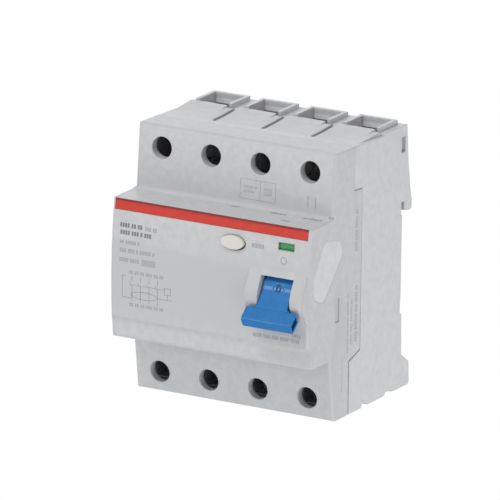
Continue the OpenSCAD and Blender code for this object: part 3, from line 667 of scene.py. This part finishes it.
fine = Print(on_nose)
fine.words((-23.0, -18.2, 14.2, 1.2, [3, 2], 0.5),
           (-31.7, -23.7, 9.1, 1.0, [2, 5, 1], 0.5),
           (-31.7, -19.4, 6.5, 1.2, [3, 3, 1, 5], 0.55),
           (-31.7, -24.4, 3.5, 1.2, [4, 5], 0.55))
fine.block(-23.8, -19.0, 2.5, 4.4)
fine.words((-28.2, -15.9, -0.2, 1.0, [2, 2, 2, 3], 0.5),
           (-28.2, -15.7, -10.6, 1.0, [2, 2, 2, 3], 0.5),
           (15.7, 32.6, -13.2, 1.15, [4, 3, 3, 4], 0.55),
           (29.6, 32.4, -11.6, 0.9, [4], 0.5))
fine.make("front_print_fine", "grey print")

# Wiring diagram: four poles with switches, a ring round them, wires and a box beside them
STROKE = 0.17
diagram = Print(on_nose)
for pole in range(4):
    x = -27.2 + pole * 3.05
    diagram.line(STROKE, (x, -1.3), (x, -3.0))
    diagram.line(STROKE, (x, -4.6), (x - 0.9, -3.2))
    diagram.line(STROKE, (x, -4.6), (x, -9.5))
diagram.line(STROKE * 0.8, (-28.0, -4.1), (-15.6, -4.1))
diagram.oval((-22.9, -7.2), radius_a=4.7, radius_b=1.2, width=STROKE, count=48)
diagram.line(STROKE, (-30.6, -1.5), (-30.6, -8.4), (-27.4, -8.4))
diagram.line(STROKE, (-30.6, -1.5), (-29.4, -1.5))
diagram.line(STROKE, (-18.1, -7.2), (-13.0, -7.2))
diagram.line(STROKE, (-15.6, -3.4), (-13.4, -3.4), (-13.4, -5.6), (-15.6, -5.6), (-15.6, -3.4))
diagram.line(STROKE, (-14.5, -5.6), (-14.5, -7.2))
diagram.make("front_print_diagram", "grey print")

button = Print(on_nose)
button.words((14.8, 19.3, 14.9, 1.35, [4], 0.82), gap=0.28)
button.oval((26.1, 11.7), radius_a=1.0, radius_b=1.0, width=0.22, count=32)
button.make("button_print", "grey print")

# A divided frame with dashes and a bar in it, and two upright strokes to its right
shoulder = Print(on_shoulder)
shoulder.line(0.13, (2.1, 30.8), (14.5, 30.8), (14.5, 24.7), (2.1, 24.7), (2.1, 30.8))
shoulder.line(0.13, (9.1, 30.8), (9.1, 24.7))
shoulder.dashes(3.3, 8.0, level=28.6, height=0.5, lengths=[1.6, 1.1])
shoulder.dashes(3.3, 8.0, level=27.1, height=0.5, lengths=[1.0, 2.2])
shoulder.line(2.2, (10.5, 27.8), (13.1, 27.8))
for x in (26.0, 28.6):
    shoulder.line(0.3, (x, 25.2), (x, 28.6))
shoulder.make("shoulder_print", "side print")

ledge = Print(on_ledge)
ledge.words((14.6, 20.6, -46.3, 0.8, [3, 2, 3], 0.5),
            (26.2, 32.4, -46.3, 0.8, [2, 4, 1], 0.5),
            (21.4, 25.2, -52.0, 0.6, [4], 0.5),
            (0.6, 4.4, -46.3, 0.6, [4], 0.5))
ledge.make("ledge_print", "side print")

side = Print(on_right_side)
side.words((9.0, 22.8, -28.6, 1.5, [4, 4, 5], 0.55),
           (-20.0, -1.8, -28.3, 1.7, [4, 6, 3], 0.6),
           (-20.2, -5.0, -31.2, 0.8, [5, 4, 7], 0.45),
           (-22.5, -3.5, -33.4, 0.8, [7, 3, 5], 0.45),
           (-34.0, -22.9, -36.5, 0.35, [9, 6], 0.45))
side.make("side_print", "side print")


# ------------------------------------------------------------------ world
def build_world(below, above):
    """White to the camera. The object gets a softer light of these strengths."""
    world = bpy.data.worlds.new("studio")
    bpy.context.scene.world = world
    world.use_nodes = True
    nodes = Nodes(world.node_tree)
    coords = nodes.add("ShaderNodeTexCoord").outputs["Generated"]
    height = nodes.add("ShaderNodeSeparateXYZ", {0: coords}).outputs["Z"]
    tent = nodes.remap(height, span=(-0.9, 0.9), to=(below, above))
    seen = nodes.add("ShaderNodeLightPath").outputs["Is Camera Ray"]
    strength = nodes.add("ShaderNodeMix", {0: seen, 2: tent, 3: 1.0}, data_type="FLOAT")
    nodes.feed(nodes.tree.nodes["Background"], {
        "Color": (1, 1, 1, 1), "Strength": strength.outputs[0]})


build_world(below=0.63, above=0.56)


# ------------------------------------------------------------------ lights
LIGHT_TARGET = Vector((0, -0.025, 0))

# name, place (m), side of the square (m), power (W)
LIGHTS = [
    ("key", (-0.16, -0.55, 0.84), 0.3, 3.0),
    ("glint", (-0.46, -0.82, 0.36), 0.2, 0.75),
    ("low", (0.08, -0.86, -0.50), 0.6, 1.7),
    ("fill", (0.92, -0.08, -0.42), 0.7, 3.8),
    ("rear", (-0.62, 0.76, 0.04), 0.6, 2.2),
]

for name, place, size, power in LIGHTS:
    light = bpy.data.lights.new(name, "AREA")
    light.shape = "RECTANGLE"
    light.size = light.size_y = size
    light.energy = power
    lamp = bpy.data.objects.new(name, light)
    bpy.context.scene.collection.objects.link(lamp)
    lamp.location = place
    lamp.rotation_euler = (LIGHT_TARGET - Vector(place)).to_track_quat("-Z", "Y").to_euler()


# ------------------------------------------------------------------ camera
def add_camera(target, distance, azimuth, elevation, roll, lens):
    """Looks at target (m) from the front right and above. Angles are in degrees."""
    azimuth, elevation, roll = map(math.radians, (azimuth, elevation, roll))
    backward = Vector((math.sin(azimuth) * math.cos(elevation),
                       -math.cos(azimuth) * math.cos(elevation), math.sin(elevation)))
    right = (-backward).cross(Vector((0, 0, 1))).normalized()
    up = right.cross(-backward).normalized()
    rolled_right = right * math.cos(roll) + up * math.sin(roll)
    rolled_up = -right * math.sin(roll) + up * math.cos(roll)
    data = bpy.data.cameras.new("camera")
    camera = bpy.data.objects.new("camera", data)
    bpy.context.scene.collection.objects.link(camera)
    pose = Matrix((rolled_right, rolled_up, backward)).transposed().to_4x4()
    pose.translation = target + backward * distance
    camera.matrix_world = pose
    data.sensor_width = 36.0
    data.lens = lens
    data.clip_end = 20
    bpy.context.scene.camera = camera


add_camera(target=Vector((-4.702, -25.0, 2.389)) * MM, distance=2.72752,
           azimuth=29.735, elevation=15.956, roll=0.810, lens=634.46904)
bpy.context.scene.view_settings.view_transform = "Standard"
